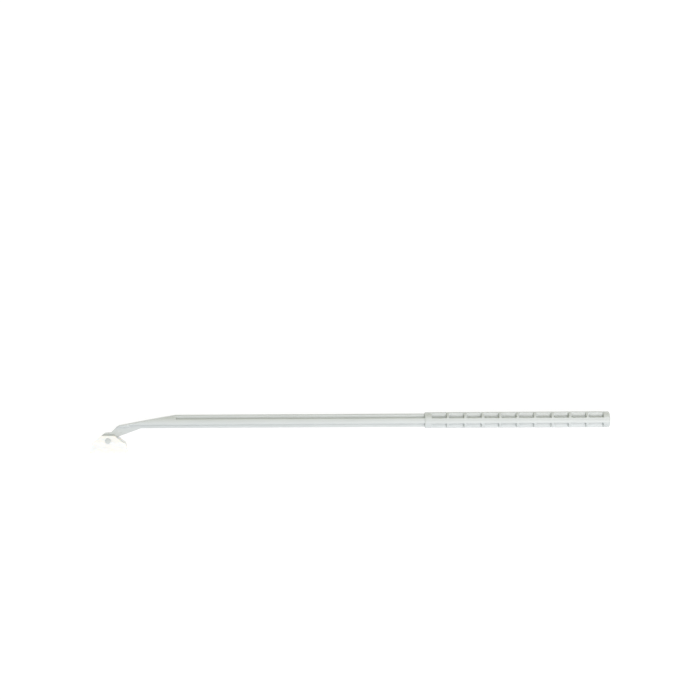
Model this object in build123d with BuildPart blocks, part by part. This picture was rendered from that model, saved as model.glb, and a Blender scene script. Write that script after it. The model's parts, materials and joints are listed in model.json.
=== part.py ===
"""Cell scraper: a moulded handle with a ringed grip, and a soft blade that swivels on its pin.

The handle lies along X with its blade end at -X, and the blade hangs to the -Y side.
The origin is the middle of the bounding box, on the surface that the grip lies on.
"""
import os
from math import asin, atan2, cos, degrees, hypot, radians, sin, tan

from build123d import *

# Driving dimensions, in millimetres and degrees

overall_length = 250.0  # butt of the grip to the far corner of the blade's lip

grip_length = 89.0
grip_diameter = 7.6
butt_length = 3.4  # solid block at the hand end
butt_dome = 0.4  # how far the end face bulges
butt_round = 0.75
collar_length = 3.3  # solid block where the grip meets the shaft
collar_round = 0.6
ring_count = 9
ring_width = 1.15

shaft_diameter = 6.4
rib_width = 2.6  # the ribs of the cross, and the neck plate that continues one of them
groove_round = 0.3  # inner corners of the grooves and of the grip's pockets

slope_start = 32.7  # pin to the start of the sloped end, along the handle
slope_angle = 10.4
nose_along = 1.2  # pin to the foot of the nose, along the handle
nose_angle = 45.6
nose_round = 1.0
groove_end = 10.5  # pin to the end of the two grooves on the blade's side, along the handle
neck_start = 15.5  # pin to where the neck leaves the shaft, along the handle
neck_angle = 19.6

pin_drop = 8.9  # handle's axis to the pin's centre
pin_diameter = 2.8
pin_recess = 0.1  # blade's faces to the ends of the pin
pin_chamfer = 0.15
lug_wall = 0.6  # lug below the pin
lug_rise = 3.65  # pin's centre to the top of the lug, straight above it
lug_slant = 4.5
lug_round = 0.5
mark_diameter = 1.5  # ejector's round print on the neck
mark_depth = 0.15
mark_along = 5.6  # pin to the print, along the handle
mark_rise = 4.3  # pin to the print, across the handle

blade_thickness = 6.0
blade_top = 2.45  # pin's centre to the top face
blade_top_width = 6.4
blade_corner_drop = 1.75  # pin's centre to the foot of the shoulders
blade_corner_width = 16.4
blade_corner_round = 1.2
blade_side_width = 17.4  # where the sides meet the flare of the lip
flare_depth = 0.3
lip_width = 18.4
lip_depth = 1.35  # full-width part of the lip
lip_round = 0.3
edge_drop = 15.3  # handle's axis to the scraping edge
taper_drop = 0.85  # pin's centre to where the body starts to thin
web_drop = 3.85  # pin's centre to where it has thinned to the flexible web
web_thickness = 1.6
edge_thickness = 0.7
web_round = 1.0

swivel_limit = 60.0
pin_clearance = 0.08  # radial, between the pin and the blade's holes
slot_clearance = 0.1  # each side of the lug in the blade's slot
stop_clearance = 0.1  # lug to the ends of the slot at both limits

# Sizes and places that follow from them

grip_radius = grip_diameter / 2
shaft_radius = shaft_diameter / 2
rest_radius = max(grip_radius, shaft_radius)  # what the handle lies on
pin_radius = pin_diameter / 2
lug_radius = pin_radius + lug_wall
butt_x = overall_length / 2
collar_x = butt_x - grip_length
pin_x = lip_width / 2 - overall_length / 2
slope_x = pin_x + slope_start
axis_y = (edge_drop - rest_radius) / 2
axis_z = rest_radius
edge_y = pin_drop - edge_drop  # from the pin
lip_y = edge_y + lip_depth  # from the pin
pocket_length = (grip_length - butt_length - collar_length - ring_count * ring_width) / (ring_count + 1)

# The plane of the neck through the handle's axis, and the same plane with its zero at the pin
middle = Plane(origin=(0, axis_y, axis_z))
at_pin = Plane(origin=(pin_x, axis_y - pin_drop, axis_z))
across_pin = Plane(origin=at_pin.origin, x_dir=(0, 1, 0), z_dir=(1, 0, 0))


def across(x):
    """Plane across the handle at x, whose own X and Y are the model's Y and Z from the axis."""
    return Plane(origin=(x, axis_y, axis_z), x_dir=(0, 1, 0), z_dir=(1, 0, 0))


def polar(distance, angle):
    """Point at a distance and an angle in degrees from the pin."""
    return distance * cos(radians(angle)), distance * sin(radians(angle))


def crossing(point_a, angle_a, point_b, angle_b):
    """Where two lines meet, each given by a point and its angle in degrees."""
    ux, uy = polar(1, angle_a)
    vx, vy = polar(1, angle_b)
    gap_x = point_b[0] - point_a[0]
    gap_y = point_b[1] - point_a[1]
    along = (gap_x * vy - gap_y * vx) / (ux * vy - uy * vx)
    return point_a[0] + along * ux, point_a[1] + along * uy


def touch_angle(point, side):
    """Angle round the pin at which a line from the point touches the lug's circle, on its +1 or -1 side."""
    return degrees(atan2(point[1], point[0])) + side * (90 - degrees(asin(lug_radius / hypot(*point))))


def quadrants(centre_distance, sides):
    """Centres of the squares that cut the quadrants between the ribs, on the given sides of the axis."""
    return [(side * centre_distance, other * centre_distance) for side in sides for other in (1, -1)]


# Corners of the blade's top and of the handle's head, from the pin

blade_top_left = (-blade_top_width / 2, blade_top)
blade_top_right = (blade_top_width / 2, blade_top)
shoulder_angle = degrees(atan2(blade_top + blade_corner_drop, (blade_corner_width - blade_top_width) / 2))

slope_foot = (slope_start, pin_drop + shaft_radius)
shaft_foot = (slope_start, pin_drop - shaft_radius)
neck_foot = (neck_start, pin_drop - shaft_radius)
neck_entry = crossing(neck_foot, neck_angle, blade_top_right, -shoulder_angle)
nose_foot = (nose_along, lug_rise + nose_along * tan(radians(lug_slant)))
nose_corner = crossing(slope_foot, slope_angle, nose_foot, nose_angle)
lug_corner = crossing(nose_foot, lug_slant, blade_top_left, shoulder_angle)

# The lug's two straight sides run from these corners and touch the circle round the pin
right_touch = touch_angle(neck_entry, -1)
left_touch = touch_angle(blade_top_left, 1)

# The slot's two end walls are the same lines, one at rest and one with the blade turned to its limit
slot_touch_radius = lug_radius + stop_clearance
slot_radius = max(hypot(*point) for point in (neck_entry, lug_corner, blade_top_left)) + stop_clearance
slot_reach = 2 * slot_radius
left_limit = left_touch + swivel_limit
right_wall = polar(slot_touch_radius, right_touch)
left_wall = polar(slot_touch_radius, left_limit)
right_run = polar(slot_reach, right_touch + 90)
left_run = polar(slot_reach, left_limit - 90)

# Squares that reach past the round bar from the corners of the cross
square = 2 * rest_radius
square_centre = (rib_width + square) / 2

with BuildSketch(at_pin) as head:
    with BuildLine():
        Polyline(
            slope_foot,
            nose_corner,
            nose_foot,
            lug_corner,
            blade_top_left,
            polar(lug_radius, left_touch),
            polar(lug_radius, right_touch),
            neck_entry,
            neck_foot,
            shaft_foot,
            close=True,
        )
    make_face()
    Circle(lug_radius)
    fillet(head.vertices().sort_by_distance(nose_corner)[0], nose_round)
    fillet(head.vertices().sort_by_distance(lug_corner)[0], lug_round)

with BuildPart() as handle:
    # Round bar of the sloped end, cut to the head's outline, and the plate of the neck and lug
    with BuildSketch(across(pin_x)):
        Circle(shaft_radius)
    extrude(amount=slope_start)
    extrude(head.sketch, amount=shaft_radius, both=True, mode=Mode.INTERSECT)
    extrude(head.sketch, amount=rib_width / 2, both=True)

    # Shaft, with a groove in each quadrant: the two on the blade's side run on below the slope
    with BuildSketch(across(slope_x)):
        Circle(shaft_radius)
    extrude(amount=collar_x - slope_x)
    with BuildSketch(across(slope_x)):
        with Locations(*quadrants(square_centre, (1,))):
            RectangleRounded(square, square, groove_round)
    extrude(amount=collar_x - slope_x, mode=Mode.SUBTRACT)
    with BuildSketch(across(pin_x + groove_end)):
        with Locations(*quadrants(square_centre, (-1,))):
            RectangleRounded(square, square, groove_round)
    extrude(amount=collar_x - pin_x - groove_end, mode=Mode.SUBTRACT)

    # Grip, turned about the axis, with pockets between its rings
    with BuildSketch(middle) as grip_half:
        with BuildLine():
            Polyline((butt_x, 0), (collar_x, 0), (collar_x, grip_radius), (butt_x - butt_dome, grip_radius))
            TangentArc((butt_x, 0), (butt_x - butt_dome, grip_radius), tangent=(0, 1))
        make_face()
        fillet(grip_half.vertices().sort_by_distance((collar_x, grip_radius))[0], collar_round)
        fillet(grip_half.vertices().sort_by_distance((butt_x - butt_dome, grip_radius))[0], butt_round)
    revolve(axis=Axis((0, axis_y, axis_z), (1, 0, 0)))
    pocket_starts = [
        collar_x + collar_length + index * (pocket_length + ring_width) for index in range(ring_count + 1)
    ]
    with BuildSketch(*(across(x) for x in pocket_starts)):
        with Locations(*quadrants(square_centre, (1, -1))):
            RectangleRounded(square, square, groove_round)
    extrude(amount=pocket_length, mode=Mode.SUBTRACT)

    # Pin, through the lug and out on both sides
    with BuildSketch(at_pin):
        Circle(pin_radius)
    extrude(amount=blade_thickness / 2 - pin_recess, both=True)
    pin_rims = handle.edges(Select.LAST).filter_by(GeomType.CIRCLE).group_by(Axis.Z)
    chamfer([pin_rims[0][0], pin_rims[-1][0]], pin_chamfer)

    # Ejector's print
    with BuildSketch(at_pin.offset(rib_width / 2)):
        with Locations((mark_along, mark_rise)):
            Circle(mark_diameter / 2)
    extrude(amount=-mark_depth, mode=Mode.SUBTRACT)

with BuildSketch(at_pin) as blade_outline:
    with BuildLine():
        Polyline(
            (0, blade_top),
            blade_top_right,
            (blade_corner_width / 2, -blade_corner_drop),
            (blade_side_width / 2, lip_y + flare_depth),
            (lip_width / 2, lip_y),
            (lip_width / 2, edge_y),
            (0, edge_y),
        )
        mirror(about=Plane.YZ)
    make_face()
    corners = blade_outline.vertices().filter_by_position(Axis.Y, -blade_corner_drop, -blade_corner_drop)
    fillet(corners, blade_corner_round)
    fillet(blade_outline.vertices().group_by(Axis.Y)[0], lip_round)

with BuildSketch(at_pin) as slot:
    Circle(slot_radius)
    with BuildLine():
        Polyline(
            right_wall,
            (right_wall[0] + right_run[0], right_wall[1] + right_run[1]),
            (slot_reach, slot_reach),
            (-slot_reach, slot_reach),
            (left_wall[0] + left_run[0], left_wall[1] + left_run[1]),
            left_wall,
            close=True,
        )
    make_face(mode=Mode.INTERSECT)
    Circle(slot_touch_radius)

with BuildPart() as blade:
    # Side view carried across the width: a thick body that thins to a flexible web and its edge
    with BuildSketch(across_pin) as blade_side:
        with BuildLine():
            Polyline(
                (blade_top, 0),
                (blade_top, blade_thickness / 2),
                (-taper_drop, blade_thickness / 2),
                (-web_drop, web_thickness / 2),
                (edge_y, edge_thickness / 2),
                (edge_y, 0),
            )
            mirror(about=Plane.XZ)
        make_face()
        fillet(blade_side.vertices().filter_by_position(Axis.X, -web_drop, -web_drop), web_round)
    extrude(amount=lip_width / 2, both=True)
    extrude(blade_outline.sketch, amount=blade_thickness / 2, both=True, mode=Mode.INTERSECT)

    # Slot for the lug, open at the top and the shoulders, and the pin's holes in its two walls
    extrude(slot.sketch, amount=rib_width / 2 + slot_clearance, both=True, mode=Mode.SUBTRACT)
    with BuildSketch(at_pin):
        Circle(pin_radius + pin_clearance)
    extrude(amount=blade_thickness / 2, both=True, mode=Mode.SUBTRACT)

os.makedirs("parts", exist_ok=True)
handle.part.label = "handle"
blade.part.label = "blade"
export_step(handle.part, "parts/handle.step")
export_step(blade.part, "parts/blade.step")
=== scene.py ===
"""Cell scraper: the moulded handle, the soft blade on its pin, and a plain studio to show them in.

The file is laid out as an add-on and is run as a script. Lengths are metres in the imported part's own frame:
the handle lies along X with its blade end at -X, the blade hangs to -Y, and Z is square to the neck's flat.
"""
import json
from math import acos, asin, atan2, cos, hypot, pi, radians, sin, sqrt, tan
from types import SimpleNamespace

import bmesh
import bpy
import numpy as np
from bpy.props import FloatProperty, FloatVectorProperty, IntProperty, PointerProperty
from bpy.types import Operator, Panel, PropertyGroup
from mathutils import Matrix, Vector


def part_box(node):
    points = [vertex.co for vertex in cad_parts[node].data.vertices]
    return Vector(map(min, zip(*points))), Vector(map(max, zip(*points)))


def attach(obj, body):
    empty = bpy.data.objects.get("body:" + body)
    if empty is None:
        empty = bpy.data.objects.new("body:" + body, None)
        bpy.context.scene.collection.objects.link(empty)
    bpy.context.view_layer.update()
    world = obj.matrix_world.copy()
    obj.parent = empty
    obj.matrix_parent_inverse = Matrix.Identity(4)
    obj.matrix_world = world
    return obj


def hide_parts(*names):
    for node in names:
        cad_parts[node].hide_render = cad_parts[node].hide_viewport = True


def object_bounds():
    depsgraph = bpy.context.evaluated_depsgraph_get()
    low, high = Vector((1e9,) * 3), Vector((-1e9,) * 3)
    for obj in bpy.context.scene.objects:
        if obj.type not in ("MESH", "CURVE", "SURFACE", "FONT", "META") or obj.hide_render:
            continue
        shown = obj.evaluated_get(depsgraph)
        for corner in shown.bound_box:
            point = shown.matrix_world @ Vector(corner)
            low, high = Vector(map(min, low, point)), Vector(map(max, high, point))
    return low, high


bl_info = {
    "name": "Cell scraper",
    "version": (1, 0, 0),
    "blender": (4, 5, 0),
    "location": "3D View > Sidebar > Cell scraper",
    "description": "Builds a cell scraper's handle and blade round its packed frame, and a studio",
    "category": "Object",
}

MM = 0.001
TINY = 1e-6  # keeps a division away from zero
WELD = 0.0005 * MM  # points nearer than this to each other are made one
ROUND_SHARE = 0.3  # the most of a thickness that the rounding of one edge takes up

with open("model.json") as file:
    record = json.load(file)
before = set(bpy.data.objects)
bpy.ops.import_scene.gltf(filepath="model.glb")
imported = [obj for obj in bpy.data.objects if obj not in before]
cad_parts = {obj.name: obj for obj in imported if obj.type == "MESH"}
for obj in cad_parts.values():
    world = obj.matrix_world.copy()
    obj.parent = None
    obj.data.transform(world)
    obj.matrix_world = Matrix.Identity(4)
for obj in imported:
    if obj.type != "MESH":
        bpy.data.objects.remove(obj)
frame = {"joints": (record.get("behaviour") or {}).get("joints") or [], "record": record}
cad_low, cad_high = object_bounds()
blade_low, blade_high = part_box("blade")
swivel = frame["joints"][0]
grip_mount = next(mount for mount in frame["record"]["mounts"] if mount["name"] == "grip")

# From the frame. PIN_DROP is the handle's axis above the pin, and EDGE_Y is the scraping edge from the pin.
GRIP_RADIUS = grip_mount["dims"]["r_mm"] * MM
AXIS_Y, AXIS_Z = grip_mount["pos_m"][1:]
PIN_X, PIN_Y = swivel["pos_m"][:2]
PIN_DROP = AXIS_Y - PIN_Y
BUTT_X = cad_high.x
EDGE_Y = blade_low.y - PIN_Y
BODY_HALF = (blade_high.z - blade_low.z) / 2
SWIVEL_LIMIT = radians(swivel["range_deg"][1])


def linear(code):
    """Linear RGB of an sRGB hex colour, by undoing the sRGB curve."""
    values = np.array([int(code[i : i + 2], 16) for i in (1, 3, 5)]) / 255
    return tuple(np.where(values <= 0.04045, values / 12.92, ((values + 0.055) / 1.055) ** 2.4).tolist())


def length(name, millimetres, description):
    """A length that a user can change, stated in millimetres and held in metres."""
    default = millimetres * MM
    return FloatProperty(
        name=name, description=description, default=default, min=0.0, precision=5, unit="LENGTH"
    )


def angle(name, value, description):
    """An angle that a user can change, stated in degrees and held in radians."""
    default = radians(value)
    return FloatProperty(name=name, description=description, default=default, subtype="ANGLE")


def colour(name, code, description):
    """A colour that a user can change, stated as sRGB hex and held as linear RGB."""
    default = linear(code)
    return FloatVectorProperty(
        name=name, description=description, default=default, size=3, min=0.0, max=1.0, subtype="COLOR"
    )


class HandleSettings(PropertyGroup):
    """Sizes and colour of the handle."""

    grip_length: length("Grip length", 89.0, "From the collar's front to the butt")
    collar_length: length("Collar length", 3.3, "Solid block where the grip meets the shaft")
    collar_round: length("Collar round", 0.6, "Rounding of the collar's front rim")
    butt_length: length("Butt length", 3.4, "Solid block at the hand end")
    butt_dome: length("Butt dome", 0.4, "How far the end face bulges")
    butt_round: length("Butt round", 0.75, "Rounding of the butt's rim")
    ring_count: IntProperty(
        name="Rings", description="Rings between the collar and the butt", default=9, min=1
    )
    ring_width: length("Ring width", 1.15, "Width of each ring along the grip")
    ring_round: length("Ring round", 0.32, "Rounding of the rings' rims")
    shaft_radius: length("Shaft radius", 3.2, "Radius of the bar that the shaft's ribs fill")
    rib_half: length("Half rib", 1.3, "Half the thickness of the ribs, the neck and the lug")
    groove_round: length("Groove round", 0.3, "Rounding of the grooves' inner corners")
    edge_round: length("Edge round", 0.13, "Rounding that the mould leaves on the outer edges")
    wall_round: length("Wall round", 0.22, "Rounding where a pocket's end wall meets its floor")
    wall_draft: length("Wall draft", 0.03, "Lean of a pocket's end wall over its depth")
    slope_start: length("Slope start", 32.7, "Pin to the start of the sloped end, along the handle")
    slope_angle: angle("Slope angle", 10.4, "Fall of the sloped end")
    nose_along: length("Nose foot", 1.2, "Pin to the foot of the nose, along the handle")
    nose_angle: angle("Nose angle", 45.6, "Fall of the nose")
    nose_round: length("Nose round", 1.0, "Rounding between the slope and the nose")
    groove_end: length("Groove end", 10.5, "Pin to the end of the blade-side grooves, along the handle")
    neck_start: length("Neck start", 15.5, "Pin to where the neck leaves the shaft, along the handle")
    neck_angle: angle("Neck angle", 19.6, "Fall of the neck's lower edge")
    lug_rise: length("Lug rise", 3.65, "Pin's centre to the lug's top")
    lug_slant: angle("Lug slant", 4.5, "Slant of the lug's top")
    lug_round: length("Lug round", 0.5, "Rounding of the lug's outer corner")
    lug_wall: length("Lug wall", 0.6, "Lug below the pin")
    pin_radius: length("Pin radius", 1.4, "Radius of the pin")
    pin_recess: length("Pin recess", 0.1, "Blade's faces to the pin's ends")
    pin_chamfer: length("Pin chamfer", 0.15, "Chamfer of the pin's ends")
    mark_radius: length("Ejector print radius", 0.75, "Radius of the ejector's round print")
    mark_depth: length("Ejector print depth", 0.13, "Depth of the ejector's round print")
    mark_along: length("Ejector print along", 5.6, "Pin to the print, along the handle")
    mark_rise: length("Ejector print rise", 4.3, "Pin to the print, across the handle")
    tint: colour("Styrene colour", "#C6CACB", "Body colour of the moulded styrene")


class BladeSettings(PropertyGroup):
    """Sizes and colour of the blade."""

    top: length("Top", 2.45, "Pin's centre to the top face")
    top_half: length("Half top", 3.2, "Half the width of the top face")
    corner_drop: length("Shoulder drop", 1.75, "Pin's centre to the foot of the shoulders")
    corner_half: length("Half shoulder width", 8.2, "Half the width at the foot of the shoulders")
    corner_round: length("Shoulder round", 1.2, "Rounding at the foot of the shoulders")
    side_half: length("Half side width", 8.7, "Half the width where the sides meet the lip's flare")
    flare_depth: length("Flare depth", 0.3, "Height of the lip's flare")
    lip_depth: length("Lip depth", 1.35, "Full-width part of the lip")
    lip_round: length("Lip round", 0.3, "Rounding of the lip's ends")
    taper_drop: length("Taper start", 0.85, "Pin's centre to where the body starts to thin")
    web_drop: length("Web start", 3.85, "Pin's centre to where it has thinned to the web")
    web_half: length("Half web", 0.8, "Half the thickness of the flexible web")
    edge_half: length("Half edge", 0.35, "Half the thickness of the scraping edge")
    web_round: length("Web round", 1.0, "Rounding between the taper and the web")
    rim_round: length("Rim round", 0.18, "Rounding of the body's outer edges")
    hole_clearance: length("Hole clearance", 0.02, "Between the pin and the soft blade's snug holes")
    slot_clearance: length("Slot clearance", 0.1, "Each side of the lug and at both ends of its swing")
    tint: colour("Elastomer colour", "#EDECEB", "Body colour of the soft blade")


class StageSettings(PropertyGroup):
    """The studio: floor, light and camera."""

    floor_tint: colour("Floor colour", "#7C7C7C", "Paint of the floor, under its own white glow")
    floor_half: length("Half floor", 3000.0, "Half the floor's side")
    camera_height: length("Camera height", 600.0, "Handle's axis to the camera")
    focal_length: FloatProperty(
        name="Focal length", description="Lens in millimetres", default=64.19, unit="CAMERA"
    )
    roll: angle("Roll", 3.8, "Turn of the view round the handle's axis")
    tilt: angle("Tilt", 0.298, "Turn of the view in its own plane")
    butt_right: length("Butt across", 124.79, "Middle of the view to the butt's end, to the right")
    butt_down: length("Butt down", 33.24, "Middle of the view to the butt's end, downwards")
    light_distance: length("Light distance", 1500.0, "Middle of the part to each lamp")


# Plane geometry


def polar(distance, turn):
    """Point at a distance and an angle from the origin."""
    return distance * cos(turn), distance * sin(turn)


def spokes(turns):
    """Unit vectors at an array of angles."""
    return np.stack([np.cos(turns), np.sin(turns)], -1)


def crossing(point_a, angle_a, point_b, angle_b):
    """Where two lines meet, each given by a point and its angle."""
    (ux, uy), (vx, vy) = polar(1, angle_a), polar(1, angle_b)
    gap_x, gap_y = point_b[0] - point_a[0], point_b[1] - point_a[1]
    along = (gap_x * vy - gap_y * vx) / (ux * vy - uy * vx)
    return point_a[0] + along * ux, point_a[1] + along * uy


def touch_angle(point, radius, side):
    """Angle of the line from the point that touches a circle round the origin, on its +1 or -1 side."""
    return atan2(point[1], point[0]) + side * (pi / 2 - asin(radius / hypot(*point)))


def fillet_line(points, rounds, steps=6):
    """Line through the points, with an arc that touches both sides at each corner that has a radius."""
    line = []
    for index, (point, radius) in enumerate(zip(points, rounds)):
        corner = np.array(point)
        if not radius:
            line.append(corner[None])
            continue
        back, ahead = (np.array(points[(index + step) % len(points)]) - corner for step in (-1, 1))
        back, ahead = back / np.linalg.norm(back), ahead / np.linalg.norm(ahead)
        half = acos(np.clip(back @ ahead, -1, 1)) / 2
        middle = corner + (back + ahead) / np.linalg.norm(back + ahead) * radius / sin(half)
        start, end = (corner + side * radius / tan(half) - middle for side in (back, ahead))
        begin = atan2(start[1], start[0])
        sweep = (atan2(end[1], end[0]) - begin + pi) % (2 * pi) - pi
        turns = begin + sweep * np.linspace(0, 1, steps + 1)
        line.append(middle + radius * spokes(turns))
    return np.concatenate(line)


def arc(radius, start, end, steps):
    """Points on a circle round the origin from one angle to another."""
    return radius * spokes(np.linspace(start, end, steps + 1))


def bend(start, corner, end, steps):
    """Quadratic curve from start to end that leans to the corner, without its first point."""
    share = (np.arange(1, steps + 1) / steps)[:, None]
    return (1 - share) ** 2 * start + 2 * share * (1 - share) * corner + share**2 * end


# Meshes


def loop_faces(rows, columns, wrap=False):
    """Four-sided faces of a grid whose rows close on themselves.

    With wrap, the last row also meets the first.
    """
    row, column = np.meshgrid(np.arange(rows if wrap else rows - 1), np.arange(columns), indexing="ij")
    after, below = (column + 1) % columns, (row + 1) % rows
    this_row, next_row = row * columns, below * columns
    corners = [this_row + column, this_row + after, next_row + after, next_row + column]
    return np.stack(corners, -1).reshape(-1, 4)


def fan(start, columns, pole):
    """Triangles that close a ring of points, from its first one on, with the one point at its middle."""
    column = np.arange(columns)
    return np.stack([start + (column + 1) % columns, np.full(columns, pole), start + column], -1)


def make_mesh(name, shells):
    """One smooth mesh of closed shells, each its points and arrays of faces.

    Points that coincide are merged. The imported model's round faces are facets, which stop a few micrometres
    short of the true curve, so a shell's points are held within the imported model's box.
    """
    points, faces, start = [], [], 0
    for shell_points, *face_arrays in shells:
        points.append(np.clip(shell_points, cad_low, cad_high))
        for array in face_arrays:
            faces += (start + np.asarray(array)).tolist()
        start += len(shell_points)
    mesh = bpy.data.meshes.new(name)
    mesh.from_pydata(np.concatenate(points).tolist(), [], faces)
    built = bmesh.new()
    built.from_mesh(mesh)
    bmesh.ops.remove_doubles(built, verts=built.verts, dist=WELD)
    built.to_mesh(mesh)
    built.free()
    mesh.shade_smooth()
    return mesh


def union(name, *shells):
    """One mesh of two closed shells that overlap, joined by an exact Boolean."""
    pieces = []
    for index, shell in enumerate(shells):
        pieces.append(bpy.data.objects.new(f"{name}.{index}", make_mesh(name, [shell])))
        bpy.context.scene.collection.objects.link(pieces[-1])
    join = pieces[0].modifiers.new("Join", "BOOLEAN")
    join.operation, join.solver, join.object = "UNION", "EXACT", pieces[1]
    bpy.context.view_layer.update()
    joined = pieces[0].evaluated_get(bpy.context.evaluated_depsgraph_get())
    mesh = bpy.data.meshes.new_from_object(joined)
    mesh.name = name
    for piece in pieces:
        bpy.data.meshes.remove(piece.data)
    return mesh


def add_piece(name, mesh, material, body, node):
    """Puts a finished mesh in the scene, as a piece that rides on a body and stands for a node."""
    piece = bpy.data.objects.new(name, mesh)
    bpy.context.scene.collection.objects.link(piece)
    mesh.materials.append(material)
    weighted = piece.modifiers.new("Even shading", "WEIGHTED_NORMAL")
    weighted.keep_sharp = True
    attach(piece, body)
    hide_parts(node)


# The handle's surface. A section has these steps from the top rib's crown to the diagonal of the groove, and
# the same again, mirrored, for each of the other seven eighths of the turn.

CROWN, CORNER, SIDE, INNER = 4, 3, 4, 3
EIGHTH = CROWN + CORNER + SIDE + INNER
LEVEL = 2 * EIGHTH  # column on the crown of the rib at the section's side
FOOT = 2 * LEVEL  # column on the crown of the bottom rib
CAP = CROWN + CORNER  # last column on the top's corner
LOWER = LEVEL + CROWN  # last column on the side rib's crown
BASE = LEVEL + EIGHTH + INNER  # last column on the lower groove's inner corner
HEEL = FOOT - CAP  # first column on the bottom's corner

# Steps of the sections along the handle
HEAD_STEP = 0.14 * MM  # over the lug and the neck, between the corners of their outline
SLOPE_STEP = 0.6 * MM
SLOPE_END_STEP = 0.15 * MM  # where the slope runs out into the shaft
SHAFT_STEP = 3 * MM
LUG_STEPS = 16  # round the lug
PIN_STEPS = 64  # round the pin


def cross_half(radius, size):
    """Half the section of the cross of ribs, from the top crown to the bottom one, as (height, depth).

    A crown is an arc of the bar's circle, a corner a quadratic curve, a side a straight line and a groove's
    inner corner an arc. That eighth is mirrored in the diagonal, and the quarter in the level line.
    """
    half, inner, edge = size.rib_half, size.groove_round, size.edge_round
    corner = asin(half / radius)
    crown = arc(radius, 0, corner - edge / radius, CROWN)
    shoulder = np.array([radius * cos(corner), half])
    start = shoulder - (edge, 0)
    end = np.array([half + inner, half])
    side = start + (end - start) * (np.arange(1, SIDE + 1) / SIDE)[:, None]
    turns = radians(270) - radians(45) * np.arange(1, INNER + 1) / INNER
    fillet = end + (0, inner) + inner * spokes(turns)
    eighth = np.concatenate([crown, bend(crown[-1], shoulder, start, CORNER), side, fillet])
    quarter = np.concatenate([eighth, eighth[-2::-1, ::-1]])
    return np.concatenate([quarter, quarter[-2::-1] * (-1, 1)])


def lug_places(size, blade):
    """What the lug's outline and the slot round it share, as seen from the pin.

    tip is at the blade's top left corner, foot is where the neck leaves the shaft, and at entry the neck's
    lower edge crosses the line of the blade's right shoulder.
    """
    shoulder = atan2(blade.top + blade.corner_drop, blade.corner_half - blade.top_half)
    foot = (size.neck_start, PIN_DROP - size.shaft_radius)
    entry = crossing(foot, size.neck_angle, (blade.top_half, blade.top), -shoulder)
    return SimpleNamespace(
        radius=size.pin_radius + size.lug_wall, shoulder=shoulder, tip=(-blade.top_half, blade.top),
        foot=foot, entry=entry,
    )


def head_outline(size, blade):
    """The head's outline from the pin, as (along, across): its top edge and its bottom edge.

    The bottom edge runs from the shaft down the neck and round the lug to its tip, and the top edge goes on
    from the tip over the lug and up the nose and the slope.
    """
    lug = lug_places(size, blade)
    nose_foot = (size.nose_along, size.lug_rise + size.nose_along * tan(size.lug_slant))
    slope_foot = (size.slope_start, PIN_DROP + size.shaft_radius)
    nose_corner = crossing(slope_foot, size.slope_angle, nose_foot, size.nose_angle)
    lug_corner = crossing(nose_foot, size.lug_slant, lug.tip, lug.shoulder)
    right = touch_angle(lug.entry, lug.radius, -1)
    left = touch_angle(lug.tip, lug.radius, 1) - 2 * pi
    curve = arc(lug.radius, right, left, LUG_STEPS).tolist()
    points = [lug.foot, lug.entry, *curve, lug.tip, lug_corner, nose_foot, nose_corner, slope_foot]
    soft = 2 * size.edge_round
    rounds = [0, soft, *[0] * len(curve), soft, size.lug_round, soft, size.nose_round, 0]
    line = fillet_line(points, rounds)
    split = int(line[:, 0].argmin())
    return line[split:], line[: split + 1][::-1]


def wall_profile(size, depth, rim):
    """A pocket's end wall, from its floor up, as the distance into the pocket and the share that is open.

    The floor turns up in an arc, the wall leans by its draft, and an arc of radius rim turns it over.
    """
    turns = np.radians([0, 30, 60, 90])
    foot = size.wall_round
    into = np.concatenate([size.wall_draft + foot * (1 - np.sin(turns)), -rim * (1 - np.cos(turns))])
    height = np.concatenate([foot * (1 - np.cos(turns)), depth - rim * (1 - np.sin(turns))])
    return into, 1 - height / depth


def station(x, radius, grip, upper, lower):
    """Rows of the table of stations, from values that may be arrays or the same for every row."""
    return np.stack(np.broadcast_arrays(np.asarray(x, float), radius, grip, upper, lower), -1)


def grip_stations(size, collar_x):
    """Rows of the grip: the collar's front rim, a pocket between each two rings, and the butt."""
    depth = GRIP_RADIUS - size.rib_half * sqrt(2)
    into, share = wall_profile(size, depth, size.ring_round)

    # The collar's front rim, a quarter round
    turns = np.radians(np.linspace(0, 90, 7))
    rim_x = collar_x + size.collar_round * (1 - np.cos(turns))
    rim_radius = GRIP_RADIUS - size.collar_round * (1 - np.sin(turns))
    table = [station(rim_x, rim_radius, np.linspace(0, 1, len(turns)), 0, 0)]

    # The pockets and the rings between them
    gaps = size.ring_count + 1
    blocks = size.butt_length + size.collar_length + size.ring_count * size.ring_width
    pocket = (size.grip_length - blocks) / gaps
    for start in collar_x + size.collar_length + np.arange(gaps) * (pocket + size.ring_width):
        table.append(station(start + into[::-1], GRIP_RADIUS, 1, share[::-1], share[::-1]))
        table.append(station(start + pocket / 2, GRIP_RADIUS, 1, 1, 1)[None])
        table.append(station(start + pocket - into, GRIP_RADIUS, 1, share, share))

    # The butt: a rim that touches both the side and the domed end face
    dome = (GRIP_RADIUS**2 + size.butt_dome**2) / (2 * size.butt_dome)
    dome_x, rim = BUTT_X - dome, GRIP_RADIUS - size.butt_round
    lean = asin(rim / (dome - size.butt_round))
    rim_turns = np.linspace(pi / 2, lean, 8)
    rim_x = dome_x + (dome - size.butt_round) * cos(lean) + size.butt_round * np.cos(rim_turns)
    table.append(station(rim_x, rim + size.butt_round * np.sin(rim_turns), 1, 0, 0))
    face_turns = np.linspace(lean, 0, 8)[1:]
    table.append(station(dome_x + dome * np.cos(face_turns), dome * np.sin(face_turns), 1, 0, 0))
    return table


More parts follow.
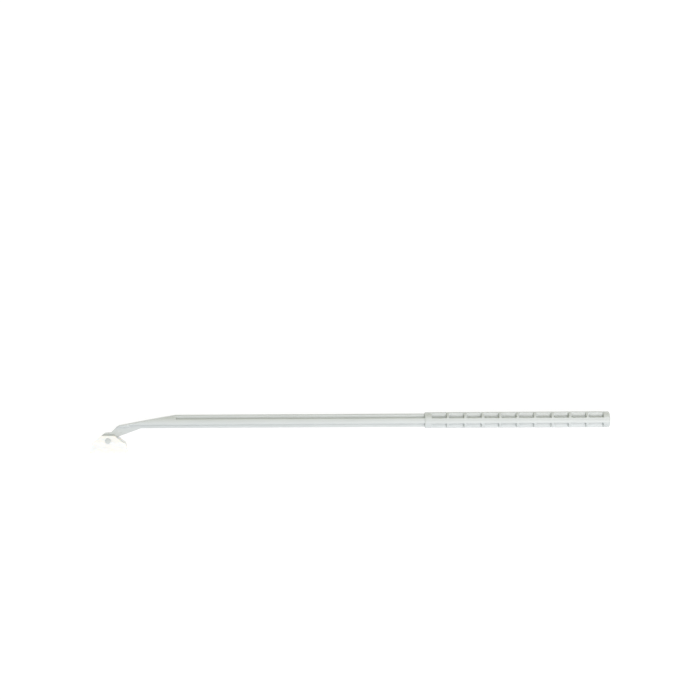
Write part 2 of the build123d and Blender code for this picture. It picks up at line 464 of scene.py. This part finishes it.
def handle_stations(size, top_line, bottom_line):
    """The sections' places along the handle, as rows of x, radius, grip share and two openings.

    A section is the round bar where its openings, upper and lower, are 0, and the cross of ribs where they
    are 1. The grip share is 1 on the grip and 0 before its collar.
    """
    shaft = size.shaft_radius
    collar_x = BUTT_X - size.grip_length
    slope_x, groove_x = PIN_X + size.slope_start, PIN_X + size.groove_end
    into, share = wall_profile(size, shaft - size.rib_half * sqrt(2), size.edge_round)

    # The head: every place on its outline, and even steps from just inside the lug's tip, merged to 0.01 mm
    first = -3 * MM
    even = np.arange(first, size.groove_end, HEAD_STEP)
    head = np.concatenate([top_line[:, 0], bottom_line[:, 0], even]) + PIN_X
    head = np.unique(np.round(head, 5))
    table = [station(head[head < groove_x - 2 * size.edge_round], shaft, 0, 0, 0)]

    # The slope, finer at its end, with a groove's end wall before and after it
    table.append(station(groove_x + into[::-1], shaft, 0, 0, share[::-1]))
    fine_x = slope_x - 2 * MM
    slope = np.concatenate([
        np.arange(groove_x + SLOPE_STEP, fine_x, SLOPE_STEP),
        np.arange(fine_x, slope_x - 1.5 * size.edge_round, SLOPE_END_STEP),
    ])
    table.append(station(slope, shaft, 0, 0, 1))
    table.append(station(slope_x + into[::-1], shaft, 0, share[::-1], 1))

    # The shaft, clear of the walls at its ends, and the foot of the collar's wall
    clear = 1 * MM
    table.append(station(np.arange(slope_x + clear, collar_x - clear, SHAFT_STEP), shaft, 0, 1, 1))
    foot = slice(0, 4)  # of the wall's profile, its first arc
    table.append(station(collar_x - into[foot], shaft, 0, share[foot], share[foot]))
    return np.concatenate(table + grip_stations(size, collar_x))


def cut_places(x, size, top_line, bottom_line):
    """What the slope, the neck and the lug have in common at each station.

    top and foot are the heights of the head's edges from the handle's axis, and small is the rounding that
    fits between them. The cut's corner stands at rim_turn on the bar's circle, and its rounding ends at
    past_turn. The circle meets the neck's flat side at side_height and side_turn, arc_length further on.
    """
    shaft, least = size.shaft_radius, 0.1 * MM
    top = np.interp(x - PIN_X, *top_line.T) - PIN_DROP
    foot = np.interp(x - PIN_X, *bottom_line.T) - PIN_DROP
    foot = np.where(x > PIN_X + size.neck_start, -shaft, np.minimum(foot, top - least))
    small = np.minimum(size.edge_round, ROUND_SHARE * (top - foot))
    side_height = -sqrt(shaft**2 - size.rib_half**2)
    side_turn = pi / 2 + asin(-side_height / shaft)
    rim_turn = np.arccos(np.clip(top / shaft, side_height / shaft, 1))
    return SimpleNamespace(
        top=top, foot=foot, small=small, side_height=side_height, side_turn=side_turn, rim_turn=rim_turn,
        past_turn=rim_turn + small / shaft, arc_length=shaft * (side_turn - rim_turn),
    )


def cut_cap(cut, size, slim):
    """The flat that the slope cuts, in the crown's shares, and its corner, a quadratic curve."""
    shaft, half, small = size.shaft_radius, size.rib_half, cut.small
    rim_depth = np.maximum(half, shaft * np.sin(cut.rim_turn))
    level = slim[: CROWN + 1, 1] / slim[CROWN, 1] * (rim_depth - small)
    flat = np.stack([cut.top + 0 * level, level], -1)
    past_side = np.stack([cut.top - small, half + 0 * cut.top], -1)
    past = np.where((cut.arc_length > small)[..., None], shaft * spokes(cut.past_turn), past_side)
    rim = np.stack([cut.top, rim_depth], -1)
    return np.concatenate([flat, bend(flat[:, -1:], rim, past, CORNER)], 1)


def cut_sole(cut, size, slim):
    """The corner and the underside of the foot.

    It is the crown of the shaft's bottom rib where the neck leaves the shaft, and turns into the neck's flat
    edge within the neck's first stretch.
    """
    foot, half, small, stretch = cut.foot, size.rib_half, cut.small, 0.6 * MM
    round_share = np.clip(1 + (size.shaft_radius + foot) / stretch, 0, 1)[..., None]
    heel = np.stack([foot + small, half + 0 * foot], -1)
    toe = np.stack([foot, half - small], -1)
    corner = np.stack([foot, half + 0 * foot], -1)
    depth = slim[FOOT - CROWN + 1 :, 1] / slim[FOOT - CROWN, 1] * (half - small)
    edge = np.stack([foot + 0 * depth, depth], -1)
    square = np.concatenate([heel, bend(heel, corner, toe, CORNER), edge], 1)
    crown = slim[HEEL:] + np.stack([foot + size.shaft_radius, 0 * foot], -1)
    return square + round_share * (crown - square)


def slope_sections(cut, slim, disc, upper, cap, sole):
    """Sections of the slope, where only the blade-side grooves are open.

    The upper part is the bar's circle, disc, held below the cut or, where the cut is wide, the cut's flat
    with the circle under it. It moves to the cross of ribs, slim, by the upper opening. Then come the
    columns of the lower groove, and from its inner corner the web, stretched to end at the sole.
    """
    turn = np.arctan2(slim[:, 1], slim[:, 0])
    shaft = np.hypot(*slim[0])
    narrow = np.stack([np.minimum(disc[..., 0], cut.top), disc[..., 1]], -1)
    share = (turn[CAP : LOWER + 1] - turn[CAP]) / (turn[LOWER] - turn[CAP])
    wide = shaft * spokes(cut.past_turn + share * (turn[LOWER] - cut.past_turn))
    wide = np.concatenate([cap[:, :CAP], wide], 1)
    above = np.where(cut.rim_turn[..., None] < turn[CROWN + 1], narrow[:, : LOWER + 1], wide)
    opened = above[:, : LEVEL + 1] + upper[..., None] * (slim[: LEVEL + 1] - above[:, : LEVEL + 1])
    groove = np.broadcast_to(slim[LOWER + 1 : BASE + 1], (len(above), BASE - LOWER, 2))
    down = (slim[BASE + 1 : HEEL, :1] - slim[BASE, 0]) / (slim[HEEL, 0] - slim[BASE, 0])
    web = groove[:, -1:] + down * (sole[:, :1] - groove[:, -1:])
    return np.concatenate([opened, above[:, LEVEL + 1 :], groove, web, sole], 1)


def head_sections(cut, size, x, marks, cap, sole):
    """Sections of the head, from the end of the blade-side grooves to the lug's tip.

    Between cap and sole a section goes down the bar's circle and then down the neck's flat side. Its columns
    start at the shares of that way that they have in marks, the slope's section at the grooves' end, and
    come to even shares within a short stretch. The three nearest the inner corner stand on its fillet.
    """
    shaft, half, small, stretch = size.shaft_radius, size.rib_half, cut.small, 3 * MM
    marks = marks[CAP : HEEL + 1]
    turn = np.minimum(np.arctan2(marks[:, 1], marks[:, 0]), cut.side_turn)
    shares = shaft * turn + np.maximum(0, cut.side_height - marks[:, 0])
    shares = (shares - shares[0]) / (shares[-1] - shares[0])
    even = np.clip((PIN_X + size.groove_end - x) / stretch, 0, 1)
    shares = (1 - even) * shares + even * np.linspace(0, 1, len(shares))

    side_start = np.minimum(cut.top, cut.side_height)
    arc_length = np.maximum(cut.arc_length, 0)
    travel = small + shares * (arc_length + side_start - cut.foot - 2 * small)
    reach = 0.12 * MM
    place = np.arange(travel.shape[1]) - np.abs(travel - arc_length).argmin(1)[:, None]
    cornered = (np.abs(place) <= 1) & (arc_length > 4 * reach)
    travel = np.where(cornered, arc_length + place * reach, travel)

    on_arc = shaft * spokes(cut.rim_turn + np.minimum(travel, arc_length) / shaft)
    on_side = np.stack([side_start - (travel - arc_length), half + 0 * travel], -1)
    chain = np.where((travel < arc_length)[..., None], on_arc, on_side)
    fillet = (np.roll(chain, 1, 1) + 2 * chain + np.roll(chain, -1, 1)) / 4
    chain = np.where((cornered & (place == 0))[..., None], fillet, chain)
    return np.concatenate([cap[:, :CAP], chain[:, :-1], sole], 1)


def handle_sections(size, blade):
    """The x of each station, and its half section as an array of (station, column, (height, depth)).

    On the shaft and the grip a section is the bar's circle, moved to the cross of ribs by its openings. The
    slope and the head have sections of their own, and the lower opening blends one into the other.
    """
    top_line, bottom_line = head_outline(size, blade)
    table = handle_stations(size, top_line, bottom_line)
    x, radius, grip, upper, lower = (column[:, None] for column in table.T)
    slim, thick = cross_half(size.shaft_radius, size), cross_half(GRIP_RADIUS, size)
    slim_turn, thick_turn = (np.arctan2(half[:, 1], half[:, 0]) for half in (slim, thick))
    disc = radius[..., None] * spokes(slim_turn + grip * (thick_turn - slim_turn))
    cross = np.where(grip[..., None] > 0.5, thick, slim)
    opening = np.where(np.arange(FOOT + 1) <= LEVEL, upper, lower)[..., None]
    bar = disc + opening * (cross - disc)

    cut = cut_places(x, size, top_line, bottom_line)
    cap, sole = cut_cap(cut, size, slim), cut_sole(cut, size, slim)
    slope = slope_sections(cut, slim, disc, upper, cap, sole)
    groove_x, slope_x = PIN_X + size.groove_end, PIN_X + size.slope_start
    marks = slope[np.abs(x[:, 0] - groove_x).argmin()]
    head = head_sections(cut, size, x, marks, cap, sole)
    head = head + lower[..., None] * (slope - head)
    in_head = (x <= groove_x + 3 * size.wall_round)[..., None]
    on_slope = (x <= slope_x)[..., None]
    return x[:, 0], np.where(in_head, head, np.where(on_slope, slope, bar))


def handle_shell(size, blade):
    """The handle without its pin: half sections mirrored in the plane of the neck and joined along X.

    The first section closes the lug's tip with one small face, and the last is the point of the butt's dome.
    The ejector's print is a round recess in the near face, whose wall is half a wave of a cosine.
    """
    x, half = handle_sections(size, blade)
    both = np.concatenate([half, half[:, -2:0:-1] * (1, -1)], 1)
    count, columns = both.shape[:2]
    points = np.concatenate([np.broadcast_to(x[:, None, None], (count, columns, 1)), both], -1)
    along = points[..., 0] - PIN_X - size.mark_along
    across = points[..., 1] + PIN_DROP - size.mark_rise
    wall_from = 0.7  # of the print's radius
    share = np.clip(np.hypot(along, across) / size.mark_radius, wall_from, 1)
    recess = size.mark_depth * (1 + np.cos(pi * (share - wall_from) / (1 - wall_from))) / 2
    near_face = points[..., 2] > 0.9 * size.rib_half
    points[..., 2] -= np.where(near_face, recess, 0)
    points = points.reshape(-1, 3) + (0, AXIS_Y, AXIS_Z)
    pole = (count - 1) * columns
    tip = np.arange(columns)[None, ::-1]
    return points[: pole + 1], loop_faces(count - 1, columns), fan(pole - columns, columns, pole), tip


def pin_shell(size, length_half):
    """The pin: a chamfered outline turned about the swivel's axis, closed by a point at each end."""
    radius, chamfer = size.pin_radius, size.pin_chamfer
    bulge = 0.3 * chamfer
    outline = np.array([
        (radius - chamfer, length_half),
        (radius - bulge, length_half - bulge),
        (radius, length_half - chamfer),
    ])
    outline = np.concatenate([outline, outline[::-1] * (1, -1)])
    ring = spokes(np.arange(PIN_STEPS) * 2 * pi / PIN_STEPS)
    height = np.tile(outline[:, None, 1:], (1, PIN_STEPS, 1))
    points = np.concatenate([outline[:, None, :1] * ring, height], -1).reshape(-1, 3)
    points = np.concatenate([points, [(0, 0, length_half), (0, 0, -length_half)]])
    last = len(outline) * PIN_STEPS
    sides = loop_faces(len(outline), PIN_STEPS)[:, ::-1]
    top, bottom = fan(0, PIN_STEPS, last), fan(last - PIN_STEPS, PIN_STEPS, last + 1)[:, ::-1]
    return points + (PIN_X, PIN_Y, AXIS_Z), sides, top, bottom


# The blade's surface

OUTLINE_STEP = 0.4 * MM  # the longest step along the outline
HOLE_CHAMFER = 0.05 * MM
FACE_STEPS = 4  # between two places where the face's slope changes


def blade_outline(blade):
    """The blade's outline from the pin: a trapezium over a lip that flares, in short steps."""
    lip = EDGE_Y + blade.lip_depth
    lip_half = (blade_high.x - blade_low.x) / 2
    right = [
        (blade.top_half, blade.top),
        (blade.corner_half, -blade.corner_drop),
        (blade.side_half, lip + blade.flare_depth),
        (lip_half, lip),
        (lip_half, EDGE_Y),
    ]
    rim = blade.rim_round
    rounds = [rim, blade.corner_round, rim, rim / 2, blade.lip_round]
    points = right[::-1] + [(-across, height) for across, height in right]
    line = fillet_line(points, rounds[::-1] + rounds)
    side = np.roll(line, -1, 0) - line
    counts = np.maximum(1, np.ceil(np.linalg.norm(side, axis=1) / OUTLINE_STEP)).astype(int)
    owner = np.repeat(np.arange(len(line)), counts)
    share = (np.arange(len(owner)) - np.repeat(np.cumsum(counts) - counts, counts)) / counts[owner]
    return line[owner] + share[:, None] * side[owner]


def blade_half_thickness(blade, height):
    """Half the blade's thickness at a height from the pin: a body that thins to the web and its edge."""
    taper_round = 0.6 * MM
    side = [
        (EDGE_Y, blade.edge_half),
        (-blade.web_drop, blade.web_half),
        (-blade.taper_drop, BODY_HALF),
        (blade.top, BODY_HALF),
    ]
    return np.interp(height, *fillet_line(side, [0, blade.web_round, taper_round, 0]).T)


def slot_reach(blade, handle, turn):
    """How far the slot for the lug reaches from the pin in a direction.

    It is a circle round the pin that clears the lug, opened by two lines that touch it, out to a circle past
    the lug's corners. They are where the lug stands at rest and with the blade turned to its limit.
    """
    lug = lug_places(handle, blade)
    near, far = lug.radius + blade.slot_clearance, hypot(*lug.entry) + blade.slot_clearance
    right = touch_angle(lug.entry, lug.radius, -1)
    left = touch_angle(lug.tip, lug.radius, 1) + SWIVEL_LIMIT
    past_right, past_left = (turn - right) % (2 * pi), (left - turn) % (2 * pi)
    sides = [
        near / np.maximum(np.cos(np.minimum(past, pi / 2)), TINY) for past in (past_right, past_left)
    ]
    return np.where(past_right + past_left < 2 * pi, np.minimum(far, np.minimum(*sides)), near)


def face_rings(blade, inner, outer, turn):
    """Radii of the rings on the blade's face in each direction, bunched where the thickness changes.

    A change lies at a depth below the pin, so its radius is that depth over the direction's fall. It is held
    between inner and outer, at least a short step from the next.
    """
    bunch = 0.25 * MM * np.array([-1, 0, 1])
    first, last = blade.taper_drop, blade.web_drop
    depths = np.concatenate([first + bunch, [(first + last) / 2], last + 2 * bunch])
    least, rim_gap = 0.02 * MM, 0.1 * MM
    order = np.arange(1, len(depths) + 1)
    highest = (outer - rim_gap)[:, None] - order[::-1] * least
    marks = depths / np.maximum(-np.sin(turn), TINY)[:, None]
    marks = np.clip(marks, inner + order * least, highest)
    ends = np.concatenate([np.full((len(outer), 1), inner), marks, outer[:, None]], 1)
    share = np.arange(FACE_STEPS) / FACE_STEPS
    rings = ends[:, :-1, None] + share * np.diff(ends, axis=1)[..., None]
    return np.concatenate([rings.reshape(len(outer), -1), outer[:, None]], 1)


def blade_shell(blade, handle):
    """The blade: a section through the pin's axis, carried round the pin.

    Each direction from the pin meets the outline once, so a section is a frame of two walls: out along the
    front face, over the rim, back along the rear face, and back through the slot. Where the slot is open,
    the faces that would close it are left out, and the edges of the two walls meet there.
    """
    outline = blade_outline(blade)
    reach = np.linalg.norm(outline, axis=1)
    unit = outline / reach[:, None]
    turn = np.arctan2(outline[:, 1], outline[:, 0])
    hole = handle.pin_radius + blade.hole_clearance
    slot = np.minimum(slot_reach(blade, handle, turn), reach)[:, None]
    gap = handle.rib_half + blade.slot_clearance
    rim_end = blade_half_thickness(blade, outline[:, 1])
    rim = np.minimum(blade.rim_round, ROUND_SHARE * rim_end)

    # The front: from the hole's chamfer over the face and the rim's quarter round, and down the outer wall
    # to the slot's height, or half way where the body is too thin for that
    outer = reach - rim
    rings = face_rings(blade, hole + HOLE_CHAMFER, outer, turn)
    arcs = np.radians([22.5, 45, 67.5, 90])
    rim_r = outer[:, None] + rim[:, None] * np.sin(arcs)
    rim_z = rim_end[:, None] - rim[:, None] * (1 - np.cos(arcs))
    wall_z = np.minimum(gap, 0.5 * (rim_end - rim))[:, None]
    hole_z = blade_half_thickness(blade, hole * unit[:, 1:]) - HOLE_CHAMFER
    face_z = blade_half_thickness(blade, rings * unit[:, 1:])
    hole_r = np.full((len(reach), 1), hole)
    front_r = np.concatenate([hole_r, rings, rim_r, reach[:, None]], 1)
    front_z = np.concatenate([hole_z, face_z, rim_z, wall_z], 1)

    # The slot's side, from its end to the hole
    back_r = np.concatenate([slot, (slot + hole) / 2, hole_r], 1)
    back_z = np.full_like(back_r, gap)

    # From the front's hole out and over the rim to the rear's hole, then through the slot to the front
    ring_r = np.concatenate([front_r, front_r[:, ::-1], back_r[:, ::-1], back_r], 1)
    ring_z = np.concatenate([front_z, -front_z[:, ::-1], -back_z[:, ::-1], back_z], 1)
    points = np.stack([ring_r * unit[:, :1], ring_r * unit[:, 1:], ring_z], -1)

    # The strips that close the slot and the outer wall beside it, dropped where the slot is open
    count, columns = ring_r.shape
    is_open = slot[:, 0] >= reach - WELD
    open_row = is_open & np.roll(is_open, -1)
    keep = np.ones((count, columns), bool)
    keep[np.ix_(open_row, [front_r.shape[1] - 1, columns - back_r.shape[1] - 1])] = False
    faces = loop_faces(count, columns, wrap=True).reshape(count, columns, 4)
    return points.reshape(-1, 3) + (PIN_X, PIN_Y, AXIS_Z), faces[keep]


# Materials

NOISE_LOW, NOISE_HIGH = 0.3, 0.7  # most of a noise texture's values lie between these


def add(tree, kind, inputs=(), **settings):
    """Adds a node with its settings. An input gets a value, or a link from an output or a node's first."""
    node = tree.nodes.new(kind)
    for name, value in settings.items():
        setattr(node, name, value)
    for name, value in dict(inputs).items():
        value = value.outputs[0] if isinstance(value, bpy.types.Node) else value
        if isinstance(value, bpy.types.NodeSocket):
            tree.links.new(value, node.inputs[name])
        else:
            node.inputs[name].default_value = value
    return node


def new_material(name, tint):
    """An empty node material and its tree, with the colour that the solid view shows."""
    material = bpy.data.materials.new(name)
    material.use_nodes = True
    material.diffuse_color = (*tint, 1)
    material.node_tree.nodes.clear()
    return material, material.node_tree


def shade(tint, amount):
    """A linear colour made lighter or darker by a share of itself."""
    return tuple(channel * (1 + amount) for channel in tint) + (1,)


def mottled(tree, noise, tint, amount):
    """A colour that a noise makes lighter and darker by a share of itself."""
    tone = add(tree, "ShaderNodeMapRange", {
        "Value": noise, "From Min": NOISE_LOW, "From Max": NOISE_HIGH,
    })
    return add(tree, "ShaderNodeMix", data_type="RGBA", inputs={
        "Factor": tone, "A": shade(tint, -amount), "B": shade(tint, amount),
    }).outputs["Result"]


def moulded_polystyrene(tint):
    """High-impact polystyrene, injection moulded in a satin tool.

    To the eye it is a pale grey plastic with a broad soft sheen. Faint streaks follow the flow along the
    handle, the tool's spark-eroded grain breaks up the sheen, and a fine line shows where its halves met.
    """
    material, tree = new_material("moulded_polystyrene", tint)
    place = add(tree, "ShaderNodeTexCoord").outputs["Object"]
    # Flow streaks about 2.5 mm wide and 17 mm long
    along = add(tree, "ShaderNodeMapping", {"Vector": place, "Scale": (0.15, 1.0, 1.0)})
    streaks = add(tree, "ShaderNodeTexNoise", {
        "Vector": along, "Scale": 1 / (2.5 * MM), "Detail": 3.0, "Roughness": 0.55,
    })
    body = mottled(tree, streaks, tint, 0.03)
    # The grain is about 0.03 mm on the tool, and is drawn 0.5 mm so that it shows
    grain = add(tree, "ShaderNodeTexNoise", {"Vector": place, "Scale": 1 / (0.5 * MM), "Detail": 2.0})
    gloss = add(tree, "ShaderNodeMapRange", {
        "Value": grain, "From Min": NOISE_LOW, "From Max": NOISE_HIGH, "To Min": 0.37, "To Max": 0.47,
    })
    # The witness line is 0.05 mm wide on the part, and is drawn 0.2 mm, half of it on each side
    depth = add(tree, "ShaderNodeSeparateXYZ", {"Vector": place}).outputs["Z"]
    line = add(tree, "ShaderNodeMath", {0: depth, 1: AXIS_Z, 2: 0.1 * MM}, operation="COMPARE")
    height = add(tree, "ShaderNodeMath", {0: line, 1: 2.0, 2: grain}, operation="MULTIPLY_ADD")
    bump = add(tree, "ShaderNodeBump", {"Height": height, "Strength": 0.25, "Distance": 0.01 * MM})
    shader = add(tree, "ShaderNodeBsdfPrincipled", {
        "Base Color": body, "Roughness": gloss, "Normal": bump, "IOR": 1.59,
    })
    add(tree, "ShaderNodeOutputMaterial", {"Surface": shader})
    return material


def moulded_elastomer(tint):
    """Thermoplastic elastomer, injection moulded: a soft white rubber.

    To the eye it is matt and a little waxy, light goes a short way in, and it has a fine even grain.
    """
    material, tree = new_material("moulded_elastomer", tint)
    place = add(tree, "ShaderNodeTexCoord").outputs["Object"]
    # Clouding about 4 mm across, from filler in the rubber
    cloud = add(tree, "ShaderNodeTexNoise", {"Vector": place, "Scale": 1 / (4 * MM), "Detail": 3.0})
    body = mottled(tree, cloud, tint, 0.02)
    # The grain is about 0.05 mm on the part, and is drawn 0.4 mm so that it shows
    grain = add(tree, "ShaderNodeTexNoise", {"Vector": place, "Scale": 1 / (0.4 * MM), "Detail": 2.0})
    gloss = add(tree, "ShaderNodeMapRange", {
        "Value": grain, "From Min": NOISE_LOW, "From Max": NOISE_HIGH, "To Min": 0.55, "To Max": 0.66,
    })
    bump = add(tree, "ShaderNodeBump", {"Height": grain, "Strength": 0.2, "Distance": 0.01 * MM})
    shader = add(tree, "ShaderNodeBsdfPrincipled", {
        "Base Color": body, "Roughness": gloss, "Normal": bump, "IOR": 1.5,
        "Subsurface Weight": 0.8,
        "Subsurface Radius": (1.0, 0.9, 0.8),
        "Subsurface Scale": 0.8 * MM,
    })
    add(tree, "ShaderNodeOutputMaterial", {"Surface": shader})
    return material


def painted_board(tint):
    """Emulsion paint on a studio's board: matt, with a very faint roller stipple.

    It glows evenly, as a board lit from all round would, so that it looks plain white under the object.
    """
    material, tree = new_material("painted_board", tint)
    place = add(tree, "ShaderNodeTexCoord").outputs["Object"]
    # Stipple about 3 mm across
    stipple = add(tree, "ShaderNodeTexNoise", {"Vector": place, "Scale": 330.0, "Detail": 2.0})
    tone = add(tree, "ShaderNodeMix", data_type="RGBA", inputs={
        "Factor": stipple, "A": shade(tint, -0.01), "B": shade(tint, 0.01),
    })
    shader = add(tree, "ShaderNodeBsdfPrincipled", {
        "Base Color": tone.outputs["Result"],
        "Roughness": 0.9,
        "Specular IOR Level": 0.2,
        "Emission Color": (1, 1, 1, 1),
        "Emission Strength": 0.85,
    })
    add(tree, "ShaderNodeOutputMaterial", {"Surface": shader})
    return material


# The studio

# The room's light: the axis that each part grows along, where it starts and where it is full, and its colour
ROOM_LIGHT = (
    ("Z", 0, 1, (0.3, 0.3, 0.4)),  # a cool ceiling
    ("Y", 0, -1, (0.75, 0.8, 0.8)),  # a white board on the near side
    ("X", 0, -1, (0.5, 0.5, 0.5)),  # a board on the left
    ("X", 0, 1, (0.2, 0.2, 0.2)),  # a dimmer board on the right
    ("Y", -1, 1, (0.25, 0.25, 0.0)),  # a dim warm wall beyond
)
# The lamps: name, degrees right of the view's axis and above it, width in metres, watts and colour
LAMPS = (
    ("key", 20, -25, 0.5, 8.5, (1.0, 0.97, 0.95)),
    ("fill", 20, 20, 0.4, 6.5, (0.92, 0.92, 1.0)),
)
SENSOR_WIDTH = 36  # millimetres
CLIP_START, CLIP_END = 0.01, 20  # metres


def soft_surround():
    """The room's light: a ceiling, three white boards and a wall.

    Each is a colour times a ramp along one axis of the direction that light comes from, and they are added
    up. To the camera itself, past the floor's edge, the room is plain white.
    """
    world = bpy.data.worlds.new("soft_surround")
    world.use_nodes = True
    tree = world.node_tree
    tree.nodes.clear()
    toward = add(tree, "ShaderNodeTexCoord").outputs["Object"]
    axes = add(tree, "ShaderNodeSeparateXYZ", {"Vector": toward})
    glow = (0, 0, 0)
    for axis, start, full, tint in ROOM_LIGHT:
        ramp = add(tree, "ShaderNodeMapRange", {
            "Value": axes.outputs[axis], "From Min": start, "From Max": full,
        })
        glow = add(tree, "ShaderNodeVectorMath", {0: ramp, 1: tint, 2: glow}, operation="MULTIPLY_ADD")
    light = add(tree, "ShaderNodeBackground", {"Color": glow})
    plain = add(tree, "ShaderNodeBackground", {"Color": (1, 1, 1, 1)})
    to_camera = add(tree, "ShaderNodeLightPath").outputs["Is Camera Ray"]
    seen = add(tree, "ShaderNodeMixShader", {0: to_camera, 1: light, 2: plain})
    add(tree, "ShaderNodeOutputWorld", {"Surface": seen})
    return world


def add_floor(collection, size):
    """One square face in the plane that the scraper rests on."""
    corners = np.array([(-1, -1, 0), (1, -1, 0), (1, 1, 0), (-1, 1, 0)]) * size.floor_half
    mesh = bpy.data.meshes.new("floor")
    mesh.from_pydata(corners.tolist(), [], [[0, 1, 2, 3]])
    mesh.materials.append(painted_board(size.floor_tint))
    floor = bpy.data.objects.new("floor", mesh)
    collection.objects.link(floor)


def view_axes(size):
    """The view's axes in the part's frame: a roll round the handle, then a turn in the view's plane."""
    turn = Matrix.Rotation(size.tilt, 3, "Z") @ Matrix.Rotation(size.roll, 3, "X")
    return turn.transposed()


def add_camera(collection, size, view):
    """A camera over the point that puts the butt's end at its place in the view."""
    lens = bpy.data.cameras.new("camera")
    lens.lens, lens.sensor_width = size.focal_length, SENSOR_WIDTH
    lens.clip_start, lens.clip_end = CLIP_START, CLIP_END
    aim = Vector((BUTT_X, AXIS_Y, AXIS_Z)) - view @ Vector((size.butt_right, -size.butt_down, 0))
    place = Matrix.Translation(aim + view @ Vector((0, 0, size.camera_height)))
    camera = bpy.data.objects.new("camera", lens)
    camera.matrix_world = place @ view.to_4x4()
    collection.objects.link(camera)
    return camera


def add_lamps(collection, size, view):
    """Round soft lamps that stand equally far from the middle of the part and face it."""
    for name, across, up, width, power, tint in LAMPS:
        light = bpy.data.lights.new(name, "AREA")
        light.shape, light.size = "DISK", width
        light.energy, light.color = power, tint
        lamp = bpy.data.objects.new(name, light)
        direction = view @ Vector((tan(radians(across)), tan(radians(up)), 1)).normalized()
        facing = direction.to_track_quat("Z", "Y").to_matrix().to_4x4()
        lamp.matrix_world = Matrix.Translation(direction * size.light_distance) @ facing
        collection.objects.link(lamp)


# Operators


class SCRAPER_OT_handle(Operator):
    """Builds the handle and its pin as one moulding"""

    bl_idname = "scraper.add_handle"
    bl_label = "Add handle"

    def execute(self, context):
        size, blade = context.scene.scraper_handle, context.scene.scraper_blade
        pin = pin_shell(size, BODY_HALF - size.pin_recess)
        mesh = union("handle_moulding", handle_shell(size, blade), pin)
        material = moulded_polystyrene(size.tint)
        add_piece("handle_moulding", mesh, material, "handle", "handle")
        return {"FINISHED"}


class SCRAPER_OT_blade(Operator):
    """Builds the soft blade that swings on the handle's pin"""

    bl_idname = "scraper.add_blade"
    bl_label = "Add blade"

    def execute(self, context):
        size = context.scene.scraper_blade
        mesh = make_mesh("blade_moulding", [blade_shell(size, context.scene.scraper_handle)])
        material = moulded_elastomer(size.tint)
        add_piece("blade_moulding", mesh, material, "blade", "blade")
        return {"FINISHED"}


class SCRAPER_OT_stage(Operator):
    """Adds the floor, the studio light and the camera"""

    bl_idname = "scraper.add_stage"
    bl_label = "Add studio"

    def execute(self, context):
        scene, size = context.scene, context.scene.scraper_stage
        view = view_axes(size)
        add_floor(scene.collection, size)
        scene.camera = add_camera(scene.collection, size, view)
        scene.world = soft_surround()
        scene.view_settings.view_transform = "Standard"
        add_lamps(scene.collection, size, view)
        return {"FINISHED"}


class SCRAPER_PT_panel(Panel):
    """Lists the scraper's pieces and their sizes"""

    bl_idname = "SCRAPER_PT_panel"
    bl_label = "Cell scraper"
    bl_space_type = "VIEW_3D"
    bl_region_type = "UI"
    bl_category = "Cell scraper"

    def draw(self, context):
        """One box for each operator, with its settings."""
        for operator, (group, cls) in zip(PARTS, SETTINGS.items()):
            box = self.layout.box()
            box.operator(operator.bl_idname)
            for name in cls.__annotations__:
                box.prop(getattr(context.scene, group), name)


SETTINGS = {
    "scraper_handle": HandleSettings,
    "scraper_blade": BladeSettings,
    "scraper_stage": StageSettings,
}
PARTS = (SCRAPER_OT_handle, SCRAPER_OT_blade, SCRAPER_OT_stage, SCRAPER_PT_panel)


def register():
    """Registers the classes and hangs their settings on the scene."""
    for cls in (*SETTINGS.values(), *PARTS):
        bpy.utils.register_class(cls)
    for name, cls in SETTINGS.items():
        setattr(bpy.types.Scene, name, PointerProperty(type=cls))


def unregister():
    """Takes the settings and the classes away again."""
    for name in SETTINGS:
        delattr(bpy.types.Scene, name)
    for cls in (*PARTS[::-1], *SETTINGS.values()):
        bpy.utils.unregister_class(cls)


def main():
    """Builds the pieces and the studio."""
    register()
    bpy.ops.scraper.add_handle()
    bpy.ops.scraper.add_blade()
    bpy.ops.scraper.add_stage()


if __name__ == "__main__":
    main()
